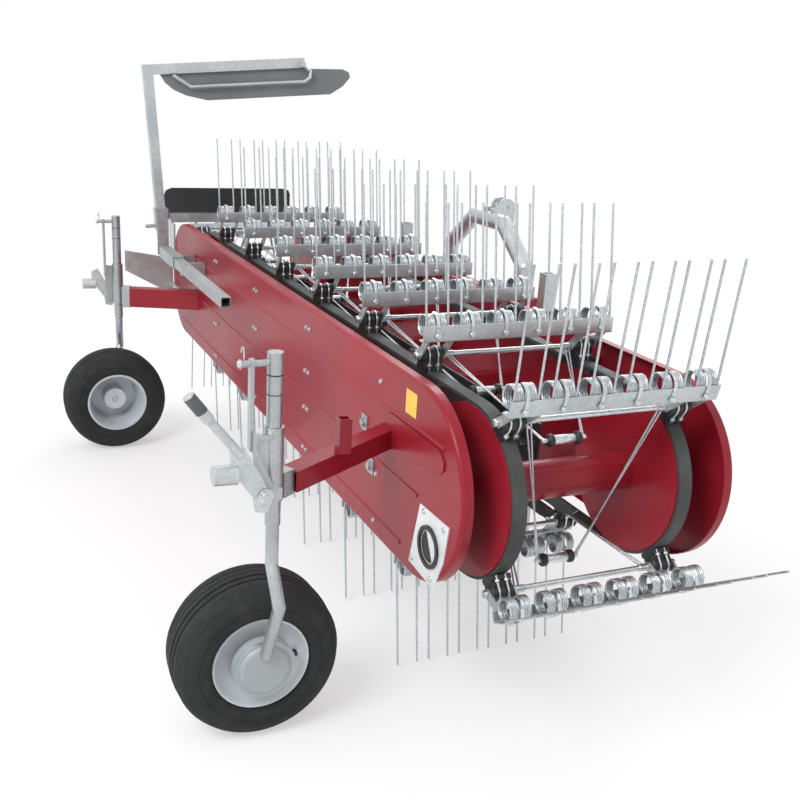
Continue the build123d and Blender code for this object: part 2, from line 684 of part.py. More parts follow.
nodes = {
    "panel_outer": left_panel,
    "panel_tractor": right_panel,
    "drum_near": near_drum,
    "drum_far": far_drum,
    "bearings": bearings,
    "belt_outer": left_belt,
    "belt_tractor": right_belt,
    "belt_rails": belt_rails,
    "belt_clamps": clamps,
    "tine_bars_top": top_bars,
    "tine_bars_bottom": bottom_bars,
    "tine_bars_near": near_bars,
    "tine_bars_far": far_bars,
    "guide_rollers": rollers,
    "control_track": control_track,
    "cross_members": cross_members,
    "cover_plate": cover,
    "cover_ring": cover_ring,
    "cover_cap": cover_cap,
    "wheel_arm_near": near_arm,
    "wheel_arm_far": far_arm,
    "sleeve_near": near_sleeve,
    "sleeve_far": far_sleeve,
    "lever_near": near_lever,
    "lever_far": far_lever,
    "leg_near": near_leg,
    "leg_far": far_leg,
    "rim_near": near_rim,
    "rim_far": far_rim,
    "tyre_near": near_tyre,
    "tyre_far": far_tyre,
    "slide_guide": guide,
    "end_board": board,
    "slide_tube": slide_tube,
    "mast": mast,
    "curtain": curtain,
    "guard_tube": guard_tube,
    "guard_sheet": guard_sheet,
    "headstock": headstock,
    "hitch_arch": arch,
    "stand_sleeves": stand_sleeves,
    "stand_near": stands[1],
    "stand_far": stands[0],
    "drive_motor": motor,
}

solids = {}
for name, body in nodes.items():
    pieces = []
    for item in body if isinstance(body, list) else [body]:
        pieces.extend(item.solids())
    solids[name] = pieces

# Row origin: middle of the whole outline on the ground plane
whole = Compound(children=[copy for pieces in solids.values() for copy in [p.moved(Location()) for p in pieces]])
box = whole.bounding_box()
shift = (-(box.min.X + box.max.X) / 2, -(box.min.Y + box.max.Y) / 2, -box.min.Z)

if __name__ == "__main__":
    for name, pieces in solids.items():
        moved = [p.moved(Location(shift)) for p in pieces]
        export_step(Compound(children=moved) if len(moved) > 1 else moved[0], f"parts/{name}.step")
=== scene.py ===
import json
import math

import bpy
from mathutils import Matrix, Vector


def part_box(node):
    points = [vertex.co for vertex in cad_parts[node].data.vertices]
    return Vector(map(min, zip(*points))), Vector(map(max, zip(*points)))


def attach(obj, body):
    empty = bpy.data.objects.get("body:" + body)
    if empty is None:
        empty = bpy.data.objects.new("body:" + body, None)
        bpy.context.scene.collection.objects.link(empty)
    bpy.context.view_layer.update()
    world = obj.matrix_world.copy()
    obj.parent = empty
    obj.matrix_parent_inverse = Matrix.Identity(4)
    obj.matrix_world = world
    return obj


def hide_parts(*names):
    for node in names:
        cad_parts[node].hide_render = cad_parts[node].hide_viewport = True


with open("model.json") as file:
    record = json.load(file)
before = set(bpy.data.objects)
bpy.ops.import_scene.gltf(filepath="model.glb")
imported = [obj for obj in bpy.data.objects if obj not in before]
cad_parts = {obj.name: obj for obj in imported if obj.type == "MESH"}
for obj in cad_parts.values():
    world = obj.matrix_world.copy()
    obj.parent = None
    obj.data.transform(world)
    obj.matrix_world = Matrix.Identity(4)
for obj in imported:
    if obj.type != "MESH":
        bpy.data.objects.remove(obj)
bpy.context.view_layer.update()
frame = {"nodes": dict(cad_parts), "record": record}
scene = bpy.context.scene
MM = 0.001

# Camera
# A 45 mm lens on a slightly shifted 36 mm sensor, near eye height off the wheel side's near corner.
# Places here and below count from halfway between the drum axes and from the wheel side panel's outer face.
axis_half = 1.26
panel_depth = 0.029
drum_low, drum_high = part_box("drum_near")
row_shift = Vector(((drum_low.x + drum_high.x) / 2 - axis_half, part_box("panel_outer")[1].y - panel_depth, 0))
camera_place = Vector((3.199, -0.998, 1.571)) + row_shift
camera_yaw = math.radians(24.38)
camera_drop = math.radians(19.05)
camera_roll = math.radians(3.24)
camera_forward = Vector((-math.cos(camera_yaw) * math.cos(camera_drop),
                         math.sin(camera_yaw) * math.cos(camera_drop), -math.sin(camera_drop)))
level_right = camera_forward.cross(Vector((0, 0, 1))).normalized()
level_up = level_right.cross(camera_forward)
camera_right = math.cos(camera_roll) * level_right + math.sin(camera_roll) * level_up
camera_up = camera_right.cross(camera_forward)
camera = bpy.data.objects.new("camera", bpy.data.cameras.new("camera"))
camera.data.lens = 45.117
camera.data.sensor_width = 36.0
camera.data.shift_x = 0.0208
camera.data.shift_y = 0.0279
camera.matrix_world = Matrix.Translation(camera_place) @ Matrix(
    (camera_right, camera_up, -camera_forward)).transposed().to_4x4()
scene.collection.objects.link(camera)
scene.camera = camera

# Studio
# White surroundings for the eye and for what the metal mirrors, and a softer grey horizon for the light
# itself. Two wide soft lamps stand over the machine.
def seen_white(tree):
    path = tree.nodes.new("ShaderNodeLightPath")
    shares = [path.outputs[name] for name in ("Is Camera Ray", "Is Glossy Ray", "Is Transmission Ray")]
    total = shares[0]
    for share in shares[1:]:
        either = tree.nodes.new("ShaderNodeMath")
        either.operation = "MAXIMUM"
        tree.links.new(total, either.inputs[0])
        tree.links.new(share, either.inputs[1])
        total = either.outputs[0]
    return total


world = bpy.data.worlds.new("studio")
world.use_nodes = True
scene.world = world
w_nodes = world.node_tree.nodes
w_links = world.node_tree.links
w_nodes.clear()
w_out = w_nodes.new("ShaderNodeOutputWorld")
w_mix = w_nodes.new("ShaderNodeMixShader")
w_seen = w_nodes.new("ShaderNodeBackground")
w_lit = w_nodes.new("ShaderNodeBackground")
w_coord = w_nodes.new("ShaderNodeTexCoord")
w_split = w_nodes.new("ShaderNodeSeparateXYZ")
w_ramp = w_nodes.new("ShaderNodeValToRGB")
w_seen.inputs["Color"].default_value = (1.0, 1.0, 1.0, 1)
w_ramp.color_ramp.elements[0].position = 0.0
w_ramp.color_ramp.elements[0].color = (0.34, 0.35, 0.36, 1)
w_ramp.color_ramp.elements[1].position = 0.75
w_ramp.color_ramp.elements[1].color = (1.0, 1.0, 1.0, 1)
w_lit.inputs["Strength"].default_value = 1.0
w_links.new(w_coord.outputs["Generated"], w_split.inputs[0])
w_links.new(w_split.outputs["Z"], w_ramp.inputs["Fac"])
w_links.new(w_ramp.outputs["Color"], w_lit.inputs["Color"])
w_links.new(seen_white(world.node_tree), w_mix.inputs["Fac"])
w_links.new(w_lit.outputs[0], w_mix.inputs[1])
w_links.new(w_seen.outputs[0], w_mix.inputs[2])
w_links.new(w_mix.outputs[0], w_out.inputs["Surface"])


def soft_lamp(name, place, target, width, power):
    lamp = bpy.data.objects.new(name, bpy.data.lights.new(name, "AREA"))
    lamp.data.shape = "DISK"
    lamp.data.size = width
    lamp.data.energy = power
    lamp.location = place
    lamp.rotation_mode = "QUATERNION"
    lamp.rotation_quaternion = (Vector(target) - Vector(place)).to_track_quat("-Z", "Y")
    scene.collection.objects.link(lamp)


soft_lamp("key_lamp", (2.6, -3.6, 4.2), (0.2, 0, 0.6), 2.6, 190)
soft_lamp("back_lamp", (-3.5, 3.0, 4.0), (0, 0, 0.6), 3.0, 120)


# Floor
# A pale matt floor that takes the machine's soft shadow, and fades to white light away from it so that no
# edge shows. Like every finish below it is made of nodes: colour that varies a little, grain and fine bump.
class Finish:
    def __init__(self, name, rough=0.5, metal=0.0, coat=0.0, coat_rough=0.1):
        self.material = bpy.data.materials.new(name)
        self.material.use_nodes = True
        self.nodes = self.material.node_tree.nodes
        self.links = self.material.node_tree.links
        self.shader = self.nodes["Principled BSDF"]
        self.shader.inputs["Roughness"].default_value = rough
        self.shader.inputs["Metallic"].default_value = metal
        self.shader.inputs["Coat Weight"].default_value = coat
        self.shader.inputs["Coat Roughness"].default_value = coat_rough
        self.coord = self.nodes.new("ShaderNodeTexCoord").outputs["Object"]
        self.normal = None

    def noise(self, scale, detail=3.0, stretch=None):
        node = self.nodes.new("ShaderNodeTexNoise")
        node.inputs["Scale"].default_value = scale
        node.inputs["Detail"].default_value = detail
        source = self.coord
        if stretch:
            mapping = self.nodes.new("ShaderNodeMapping")
            mapping.inputs["Scale"].default_value = stretch
            self.links.new(self.coord, mapping.inputs["Vector"])
            source = mapping.outputs[0]
        self.links.new(source, node.inputs["Vector"])
        return node.outputs["Fac"]

    def cells(self, scale):
        node = self.nodes.new("ShaderNodeTexVoronoi")
        node.inputs["Scale"].default_value = scale
        self.links.new(self.coord, node.inputs["Vector"])
        return node.outputs["Color"]

    def ramp(self, source, low, high, colour_low, colour_high):
        node = self.nodes.new("ShaderNodeValToRGB")
        node.color_ramp.elements[0].position = low
        node.color_ramp.elements[1].position = high
        node.color_ramp.elements[0].color = (*colour_low, 1)
        node.color_ramp.elements[1].color = (*colour_high, 1)
        self.links.new(source, node.inputs["Fac"])
        return node.outputs["Color"]

    def mix(self, amount, one, two, how="MIX"):
        node = self.nodes.new("ShaderNodeMix")
        node.data_type = "RGBA"
        node.blend_type = how
        for value, name in ((amount, 0), (one, 6), (two, 7)):
            if isinstance(value, bpy.types.NodeSocket):
                self.links.new(value, node.inputs[name])
            elif name == 0:
                node.inputs[0].default_value = value
            else:
                node.inputs[name].default_value = (*value, 1)
        return node.outputs[2]

    def span(self, source, low, high, out_low, out_high):
        node = self.nodes.new("ShaderNodeMapRange")
        node.inputs["From Min"].default_value = low
        node.inputs["From Max"].default_value = high
        node.inputs["To Min"].default_value = out_low
        node.inputs["To Max"].default_value = out_high
        self.links.new(source, node.inputs["Value"])
        return node.outputs["Result"]

    def bump(self, height, distance, strength=0.4):
        node = self.nodes.new("ShaderNodeBump")
        node.inputs["Strength"].default_value = strength
        node.inputs["Distance"].default_value = distance
        self.links.new(height, node.inputs["Height"])
        if self.normal is not None:
            self.links.new(self.normal, node.inputs["Normal"])
        self.normal = node.outputs["Normal"]

    def round_edges(self, radius):
        node = self.nodes.new("ShaderNodeBevel")
        node.samples = 3
        node.inputs["Radius"].default_value = radius
        self.normal = node.outputs["Normal"]

    def set(self, **sockets):
        for name, source in sockets.items():
            self.links.new(source, self.shader.inputs[name.replace("_", " ")])
        if self.normal is not None:
            self.links.new(self.normal, self.shader.inputs["Normal"])
        return self.material


floor_half = 40.0
fade_reach = (1.0, 3.6)
fade_glow = (0.45, 1.0)


def studio_floor():
    f = Finish("floor_paint", 0.9)
    colour = f.ramp(f.noise(1.0, 4.0), 0.3, 0.75, (0.86, 0.86, 0.86), (0.88, 0.88, 0.88))
    f.set(Base_Color=colour)
    glow = f.nodes.new("ShaderNodeEmission")
    glow.inputs["Color"].default_value = (1.0, 1.0, 1.0, 1)
    away = f.nodes.new("ShaderNodeVectorMath")
    away.operation = "LENGTH"
    f.links.new(f.coord, away.inputs[0])
    share = f.nodes.new("ShaderNodeMath")
    share.operation = "MULTIPLY"
    f.links.new(f.span(away.outputs["Value"], *fade_reach, *fade_glow), share.inputs[0])
    f.links.new(seen_white(f.material.node_tree), share.inputs[1])
    mix = f.nodes.new("ShaderNodeMixShader")
    f.links.new(share.outputs[0], mix.inputs["Fac"])
    f.links.new(f.shader.outputs[0], mix.inputs[1])
    f.links.new(glow.outputs[0], mix.inputs[2])
    f.links.new(mix.outputs[0], f.nodes["Material Output"].inputs["Surface"])
    return f.material


floor_mesh = bpy.data.meshes.new("floor")
floor_mesh.from_pydata([(x * floor_half, y * floor_half, 0) for x, y in ((-1, -1), (1, -1), (1, 1), (-1, 1))],
                       [], [(0, 1, 2, 3)])
floor_mesh.materials.append(studio_floor())
floor = bpy.data.objects.new("floor", floor_mesh)
floor.location.z = -0.001
scene.collection.objects.link(floor)


# Red body
# Side panels, drums, cross members, wheel arms and headstock: pressed and welded steel in one deep red paint
# with a little dust. Their form is all in the CAD, so only the paint is put on here.
def red_paint():
    f = Finish("red_paint", 0.38, 0.0, 0.12, 0.1)
    f.shader.inputs["Specular IOR Level"].default_value = 0.26
    f.round_edges(0.002)
    cloud = f.noise(2.2, 4.0)
    colour = f.ramp(cloud, 0.3, 0.75, (0.235, 0.008, 0.018), (0.315, 0.012, 0.026))
    dust = f.span(f.noise(9.0, 6.0), 0.5, 0.85, 0.0, 0.06)
    colour = f.mix(dust, colour, (0.40, 0.18, 0.17))
    f.bump(f.noise(420.0, 2.0), 0.0002, 0.2)
    return f.set(Base_Color=colour, Roughness=f.span(cloud, 0.3, 0.8, 0.3, 0.46))


def dress_slot(slot, finish):
    for entry in frame["record"]["subparts"]:
        if entry["material_slot"] == slot:
            mesh = frame["nodes"][entry["node"]].data
            mesh.materials.clear()
            mesh.materials.append(finish)


def dress_nodes(names, finish):
    for name in names:
        frame["nodes"][name].data.materials[0] = finish


red = red_paint()
dress_slot("red_paint", red)


# Belts, track and bearings
# Two flat rubber belts run round the drums. Their slide rails, the control track and the bearing housings are
# steel in black paint, and the belt clamps and the cover's ring are moulded black rubber.
def plain(name, dark, light, rough, scale, grain, depth, coat=0.0, metal=0.0):
    f = Finish(name, rough, metal, coat)
    f.round_edges(0.0015)
    colour = f.ramp(f.noise(scale, 5.0), 0.3, 0.75, dark, light)
    f.bump(f.noise(grain, 3.0), depth, 0.4)
    grip = f.span(f.noise(scale * 3, 3.0), 0.3, 0.7, rough - 0.08, rough + 0.08)
    return f.set(Base_Color=colour, Roughness=grip)


black_paint = plain("black_paint", (0.018, 0.018, 0.019), (0.035, 0.034, 0.034), 0.42, 6.0, 300.0,
                    0.0002, 0.3)
belt_rubber = plain("belt_rubber", (0.035, 0.038, 0.038), (0.065, 0.068, 0.068), 0.62, 12.0, 500.0, 0.0006)
bush_rubber = plain("bush_rubber", (0.010, 0.010, 0.011), (0.028, 0.028, 0.028), 0.45, 30.0, 600.0, 0.0003)
dress_slot("black_paint", black_paint)
dress_slot("belt_rubber", belt_rubber)
dress_slot("block_rubber", bush_rubber)


# Galvanised frame parts
# Hitch arch, stands, levers, mast, guard tube and end board are hot-dip galvanised steel, with flakes and
# soft clouds in the zinc. Legs, their sleeves and the curtain's slide tube and guide have weathered duller.
def zinc(name, dark, light, rough, metal, spangle):
    f = Finish(name, rough, metal)
    f.round_edges(0.0015)
    flakes = f.ramp(f.cells(spangle), 0.1, 0.9, dark, light)
    cloud = f.ramp(f.noise(7.0, 4.0), 0.3, 0.75, (0.78, 0.79, 0.80), (1.0, 1.0, 1.0))
    colour = f.mix(1.0, flakes, cloud, "MULTIPLY")
    f.bump(f.noise(260.0, 2.0), 0.0004, 0.25)
    grain = f.span(f.noise(30.0, 4.0), 0.3, 0.7, rough - 0.07, rough + 0.12)
    return f.set(Base_Color=colour, Roughness=grain)


galvanised = zinc("galvanised", (0.55, 0.58, 0.59), (0.66, 0.69, 0.70), 0.36, 0.72, 190.0)
dull_zinc = zinc("dull_zinc", (0.43, 0.45, 0.46), (0.50, 0.525, 0.535), 0.30, 0.75, 190.0)
dress_slot("galvanised", galvanised)
dress_nodes(("leg_near", "leg_far", "sleeve_near", "sleeve_far", "slide_tube", "slide_guide"), dull_zinc)

# Curtain and guard sheet
# The swath curtain is a grey rubber flap on its hoop rod, and the guard at the far end is a stiff black
# rubber sheet on a square tube. Both are flat as cut.
flap_rubber = plain("flap_rubber", (0.145, 0.157, 0.162), (0.195, 0.208, 0.214), 0.55, 4.0, 200.0, 0.0008)
sheet_rubber = plain("sheet_rubber", (0.018, 0.019, 0.019), (0.034, 0.035, 0.034), 0.55, 5.0, 240.0, 0.0008)
dress_slot("flap_rubber", flap_rubber)
dress_nodes(("guard_sheet",), sheet_rubber)

# Drive motor
# A cast hydraulic motor on the far drum's shaft, bolted to the tractor side panel. It has dark grey paint
# over its cast skin.
motor_paint = plain("motor_paint", (0.030, 0.030, 0.032), (0.050, 0.050, 0.053), 0.45, 8.0, 300.0, 0.0004)
dress_slot("motor_paint", motor_paint)


# Tine bars
# Sixteen galvanised angle bars on the belts. Each has six double springs of 6 mm wire wound on one length,
# held at the middle by a strap and a bolt, and four lugs that a bright axle passes through.
class Shape:
    def __init__(self):
        self.points = []
        self.faces = []
        self.finish = []

    def add(self, form, place=None, finish=0):
        points, faces = form
        start = len(self.points)
        place = place or Matrix.Identity(4)
        self.points += [place @ Vector(p) for p in points]
        self.faces += [[start + i for i in face] for face in faces]
        self.finish += [finish] * len(faces)


def lathe_form(profile, sides=24):
    points = []
    faces = []
    for radius, height in profile:
        for i in range(sides):
            a = 2 * math.pi * i / sides
            points.append((radius * math.cos(a), radius * math.sin(a), height))
    for k in range(len(profile) - 1):
        for i in range(sides):
            j = (i + 1) % sides
            faces.append((k * sides + i, k * sides + j, (k + 1) * sides + j, (k + 1) * sides + i))
    faces.append(tuple(reversed(range(sides))))
    faces.append(tuple(range((len(profile) - 1) * sides, len(profile) * sides)))
    return points, faces


def tube_form(path, radius, sides=8):
    path = [Vector(p) for p in path]
    points = []
    faces = []
    last = None
    for k, p in enumerate(path):
        before = path[max(k - 1, 0)]
        after = path[min(k + 1, len(path) - 1)]
        ahead = (after - before).normalized()
        if last is None:
            side = ahead.orthogonal().normalized()
        else:
            side = (last - ahead * last.dot(ahead)).normalized()
        last = side
        other = ahead.cross(side)
        for i in range(sides):
            a = 2 * math.pi * i / sides
            points.append(p + radius * (math.cos(a) * side + math.sin(a) * other))
    for k in range(len(path) - 1):
        for i in range(sides):
            j = (i + 1) % sides
            faces.append((k * sides + i, k * sides + j, (k + 1) * sides + j, (k + 1) * sides + i))
    faces.append(tuple(reversed(range(sides))))
    faces.append(tuple(range((len(path) - 1) * sides, len(path) * sides)))
    return points, faces


def strap_form(path, width, thick):
    path = [Vector(p) for p in path]
    points = []
    faces = []
    for k, p in enumerate(path):
        ahead = (path[min(k + 1, len(path) - 1)] - path[max(k - 1, 0)]).normalized()
        across = Vector((0, 1, 0))
        out = across.cross(ahead).normalized()
        for side, lift in ((-1, 0), (1, 0), (1, 1), (-1, 1)):
            points.append(p + across * side * width / 2 + out * lift * thick)
    for k in range(len(path) - 1):
        for i in range(4):
            j = (i + 1) % 4
            faces.append((k * 4 + i, k * 4 + j, (k + 1) * 4 + j, (k + 1) * 4 + i))
    faces.append((3, 2, 1, 0))
    faces.append(tuple(range((len(path) - 1) * 4, len(path) * 4)))
    return points, faces


def plate_form(outline, thick):
    count = len(outline)
    points = [(a, b, 0.0) for a, b in outline] + [(a, b, thick) for a, b in outline]
    faces = [tuple(reversed(range(count))), tuple(range(count, 2 * count))]
    faces += [(i, (i + 1) % count, (i + 1) % count + count, i + count) for i in range(count)]
    return points, faces


def pointing(place, direction, turn=0.0):
    aim = Vector(direction).to_track_quat("Z", "Y").to_matrix().to_4x4()
    return Matrix.Translation(place) @ aim @ Matrix.Rotation(turn, 4, "Z")


to_row = Matrix.Translation(row_shift) @ Matrix.Scale(MM, 4)


def make(name, shape, finishes, body, replaces=(), sharp=35.0):
    mesh = bpy.data.meshes.new(name)
    mesh.from_pydata([to_row @ p for p in shape.points], [], shape.faces)
    for finish in finishes:
        mesh.materials.append(finish)
    mesh.polygons.foreach_set("material_index", shape.finish)
    mesh.polygons.foreach_set("use_smooth", [True] * len(mesh.polygons))
    mesh.update()
    mesh.set_sharp_from_angle(angle=math.radians(sharp))
    piece = bpy.data.objects.new(name, mesh)
    scene.collection.objects.link(piece)
    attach(piece, body)
    if replaces:
        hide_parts(*replaces)
    return piece


bright_zinc = zinc("bright_zinc", (0.62, 0.66, 0.68), (0.80, 0.83, 0.84), 0.25, 0.85, 160.0)
spring_wire = zinc("spring_wire", (0.50, 0.53, 0.55), (0.68, 0.72, 0.74), 0.30, 0.85, 220.0)
axis_span = 2 * axis_half / MM
axis_height = 648.0
near_axis = axis_span / 2
far_axis = -axis_span / 2
belt_line = 214.3
axle_offset = 256.0
first_bar_x = near_axis - 276.0
bar_count = 16
bar_left = 75.0
bar_right = 636.0
face_back = 57.0
bar_ahead = 60.0
bar_lift = 48.0
bar_face = 42.0
bar_foot = 26.0
bar_sheet = 3.0
clamp_places = (127.0, 584.0)
bush_half = 30.0
lug_sheet = 5.0
coil_radius = 25.0
coil_x = 29.0
coil_z = 87.0
wire = 3.0
coil_turns = 4
tine_slant = math.radians(9.0)
tine_length = 296.3
spring_places = [bar_left + 38.0 + i * 97.0 for i in range(6)]


def oval(along, line, offset):
    turn = math.pi * line
    along = along % (2 * axis_span + 2 * turn)
    if along < axis_span:
        return far_axis + along, axis_height + offset, 0.0
    along -= axis_span
    if along < turn:
        angle = along / line
        return near_axis + offset * math.sin(angle), axis_height + offset * math.cos(angle), angle
    along -= turn
    if along < axis_span:
        return near_axis - along, axis_height - offset, math.pi
    angle = math.pi + (along - axis_span) / line
    return far_axis + offset * math.sin(angle), axis_height + offset * math.cos(angle), angle


def tine_angle(outward):
    turned = ((0.0, 0.0), (33.0, 14.0), (140.0, 66.0), (180.0, 180.0),
              (213.0, 194.0), (320.0, 240.0), (360.0, 360.0))
    outward = math.degrees(outward)
    for (a0, b0), (a1, b1) in zip(turned, turned[1:]):
        if a0 <= outward <= a1:
            return math.radians(b0 + (b1 - b0) * (outward - a0) / (a1 - a0))
    return math.radians(outward)


def spring_path(centre):
    steps = 14
    halves = []
    for side in (-1, 1):
        y0 = centre + side * 6.0
        half = [(coil_x + coil_radius, y0, coil_z - 27), (coil_x + coil_radius, y0, coil_z - 14)]
        total = 2 * math.pi * coil_turns + tine_slant
        count = coil_turns * steps
        for i in range(count + 1):
            a = total * i / count
            half.append((coil_x + coil_radius * math.cos(a), y0 + side * 24.0 * i / count,
                         coil_z + coil_radius * math.sin(a)))
        x, y, z = half[-1]
        for reach in (0.3, 0.97, 1.0):
            half.append((x - math.sin(tine_slant) * tine_length * reach, y,
                         z + math.cos(tine_slant) * tine_length * reach))
        halves.append(half)
    return list(reversed(halves[0])) + [(coil_x + coil_radius, centre, coil_z - 32)] + halves[1]


bolt_head = lathe_form([(8.5, 0), (8.5, 1.6), (7.0, 1.7), (7.0, 5.6), (5.8, 6.6)], 12)
lug_outline = [(-10, 8), (-10, -10), (8, -10), (face_back, bar_lift + 1),
               (bar_ahead - bar_foot, bar_lift + 1)]
lug_places = []
for y in clamp_places:
    lug_places += [y - bush_half - 0.3 - lug_sheet, y + bush_half + 0.3]


def bar_shape(shape, place):
    inner = 2.0
    profile = [(bar_ahead - bar_foot, bar_lift), (bar_ahead - 4, bar_lift), (bar_ahead - 1.2, bar_lift + 1.2),
               (bar_ahead, bar_lift + 4), (bar_ahead, bar_lift + bar_face - 1),
               (bar_ahead - 1, bar_lift + bar_face), (face_back, bar_lift + bar_face),
               (face_back, bar_lift + bar_sheet + inner), (face_back - inner, bar_lift + bar_sheet),
               (bar_ahead - bar_foot, bar_lift + bar_sheet)]
    count = len(profile)
    points = [(x, bar_left, z) for x, z in profile] + [(x, bar_right, z) for x, z in profile]
    faces = [tuple(range(count)), tuple(reversed(range(count, 2 * count)))]
    faces += [(i, i + count, (i + 1) % count + count, (i + 1) % count) for i in range(count)]
    shape.add((points, faces), place)
    for y in lug_places:
        turn = Matrix.Translation((0, y + lug_sheet, 0)) @ Matrix.Rotation(math.pi / 2, 4, "X")
        shape.add(plate_form(lug_outline, lug_sheet), place @ turn)
    reach = lug_places[3] - lug_places[0]
    axle = lathe_form([(6, 0), (7, 1), (7, reach + 4), (6, reach + 5)], 14)
    shape.add(axle, place @ pointing((0, lug_places[0] - 2, 0), (0, 1, 0)), 1)
    for centre in spring_places:
        shape.add(tube_form(spring_path(centre), wire, 6), place, 2)
        strap = [(61, centre, 54), (61, centre, 88), (59, centre, 99), (52, centre, 110), (41, centre, 116),
                 (28, centre, 117)]
        shape.add(strap_form(strap, 9, 2.5), place, 1)
        shape.add(bolt_head, place @ pointing((bar_ahead + 2.5, centre, 64), (1, 0, 0)), 1)


bar_places = []
bar_groups = {"top": Shape(), "near": Shape(), "bottom": Shape(), "far": Shape()}
bar_pitch = (2 * axis_span + 2 * math.pi * belt_line) / bar_count
for i in range(bar_count):
    x, z, outward = oval(first_bar_x - far_axis + i * bar_pitch, belt_line, axle_offset)
    if outward == 0.0:
        group = "top"
    elif abs(outward - math.pi) < 1e-6:
        group = "bottom"
    else:
        group = "near" if outward < math.pi else "far"
    bar_places.append((group, x, z, outward))
    bar_shape(bar_groups[group], Matrix.Translation((x, 0, z)) @ Matrix.Rotation(tine_angle(outward), 4, "Y"))
for group, shape in bar_groups.items():
    make("bars_" + group, shape, (galvanised, bright_zinc, spring_wire), "frame",
         ("tine_bars_" + group,))

# Control rods and guide rollers
# Two pairs of bright rods run from the ends of each axle to one pin, which carries a bright sleeve and two
# black wheels. They roll round the control track at mid width and so keep the tines at their angle.
arm_length = 330.0
track_offset = 112.0
hang_radius = 204.0
hang_ahead = math.radians(133.0)
middle_y = 355.5
roller_half = 48.0
wheel_wide = 18.0
sleeve_half = 30.0
rod_radius = 2.4
rod_step = 12.0


def roller_place(x, z, outward):
    if 0.0 < outward % math.pi < math.pi / 2 and abs(outward - math.pi) > 1e-6:
        centre = near_axis if outward < math.pi else far_axis
        angle = outward + hang_ahead
        return centre + hang_radius * math.sin(angle), axis_height + hang_radius * math.cos(angle)
    if outward == 0.0:
        along = x - far_axis
    elif outward < math.pi - 1e-6:
        along = axis_span + outward * track_offset
    elif abs(outward - math.pi) < 1e-6:
        along = axis_span + math.pi * track_offset + near_axis - x
    else:
        along = 2 * axis_span + outward * track_offset
    while True:
        rx, rz, _ = oval(along, track_offset, track_offset)
        if math.hypot(rx - x, rz - z) >= arm_length:
            return rx, rz
        along += 1.0


rod_groups = {"top": Shape(), "near": Shape(), "bottom": Shape(), "far": Shape()}
rod_boss = lathe_form([(8, 0), (9, 1), (9, 20), (8, 21)], 12)
roller_pin = lathe_form([(5, 0), (6, 1), (6, 2 * roller_half + 29), (5, 2 * roller_half + 30)], 12)
roller_wheel = lathe_form([(8, 0), (14, 1), (16.5, 4), (16.5, 14), (14, 17), (8, 18)], 20)
roller_sleeve = lathe_form([(11.5, 0), (12, 1), (12, 59), (11.5, 60)], 20)
roller_shape = Shape()
for group, x, z, outward in bar_places:
    rx, rz = roller_place(x, z, outward)
    for side, start in ((-1, lug_places[1] + lug_sheet), (1, lug_places[2])):
        for step in (0, 1):
            p = (x, start - side * (4 + step * rod_step), z)
            q = (rx, middle_y + side * (roller_half + 4 + step * rod_step / 2), rz)
            rod_groups[group].add(tube_form([p, q], rod_radius, 8))
        rod_groups[group].add(rod_boss, pointing((x, start - side * 18 - 10, z), (0, 1, 0)))
    roller_shape.add(roller_pin, pointing((rx, middle_y - roller_half - 15, rz), (0, 1, 0)), 1)
    roller_shape.add(roller_sleeve, pointing((rx, middle_y - sleeve_half, rz), (0, 1, 0)), 1)
    for y in (middle_y - roller_half, middle_y + roller_half - wheel_wide):
        roller_shape.add(roller_wheel, pointing((rx, y, rz), (0, 1, 0)), 0)
for group, shape in rod_groups.items():
    make("control_rods_" + group, shape, (spring_wire,), "frame")
make("rollers", roller_shape, (bush_rubber, bright_zinc), "frame", ("guide_rollers",))


# Belt clamps
# A ribbed black rubber bush round the axle on a moulded block, drawn down on the belt by two U bolts with
# nuts. The axle's bright end shows beside it.
def box_form(x0, x1, y0, y1, z0, z1):
    points = [(x, y, z) for x in (x0, x1) for y in (y0, y1) for z in (z0, z1)]
    return points, [(0, 1, 3, 2), (4, 6, 7, 5), (0, 4, 5, 1), (2, 3, 7, 6), (0, 2, 6, 4), (1, 5, 7, 3)]


belt_outer = 218.3
clamp_low = belt_outer + 0.4 - axle_offset
bow_radius = 22.0
bow_wire = 2.8
bow_half_gap = 12.0
bush_half_profile = [(21, 7), (19, 8.5), (19, 15.5), (21, 17), (21, 26), (18, 29), (11, 30)]
bush = lathe_form([(r, -y) for r, y in reversed(bush_half_profile)] + bush_half_profile, 20)
axle_end = lathe_form([(9, 0), (9.5, 1), (9.5, 8), (8, 9), (6, 9.2)], 14)
bow_nut = lathe_form([(7, 0), (7, 5), (6, 6)], 6)
clamp_shape = Shape()
for group, x, z, outward in bar_places:
    clamp_frame = Matrix.Translation((x, 0, z)) @ Matrix.Rotation(outward, 4, "Y")
    for y in clamp_places:
        clamp_shape.add(bush, clamp_frame @ pointing((0, y, 0), (0, 1, 0)), 0)
        clamp_shape.add(box_form(-24, 24, y - 26, y + 26, clamp_low, clamp_low + 12), clamp_frame, 0)
        clamp_shape.add(box_form(-17, 17, y - 27, y + 27, clamp_low + 11, -4), clamp_frame, 0)
        for bow_y in (y - bow_half_gap, y + bow_half_gap):
            arc = [math.pi * k / 12 for k in range(13)]
            bow = [(-bow_radius, bow_y, clamp_low + 1)]
            bow += [(-bow_radius * math.cos(a), bow_y, bow_radius * math.sin(a)) for a in arc]
            bow += [(bow_radius, bow_y, clamp_low + 1)]
            clamp_shape.add(tube_form(bow, bow_wire, 8), clamp_frame, 1)
            for nut_x in (-bow_radius, bow_radius):
                clamp_shape.add(bow_nut, clamp_frame @ Matrix.Translation((nut_x, bow_y, clamp_low + 12)), 1)
        for way in (-1, 1):
            clamp_shape.add(axle_end, clamp_frame @ pointing((0, y + way * 36.0, 0), (0, way, 0)), 1)
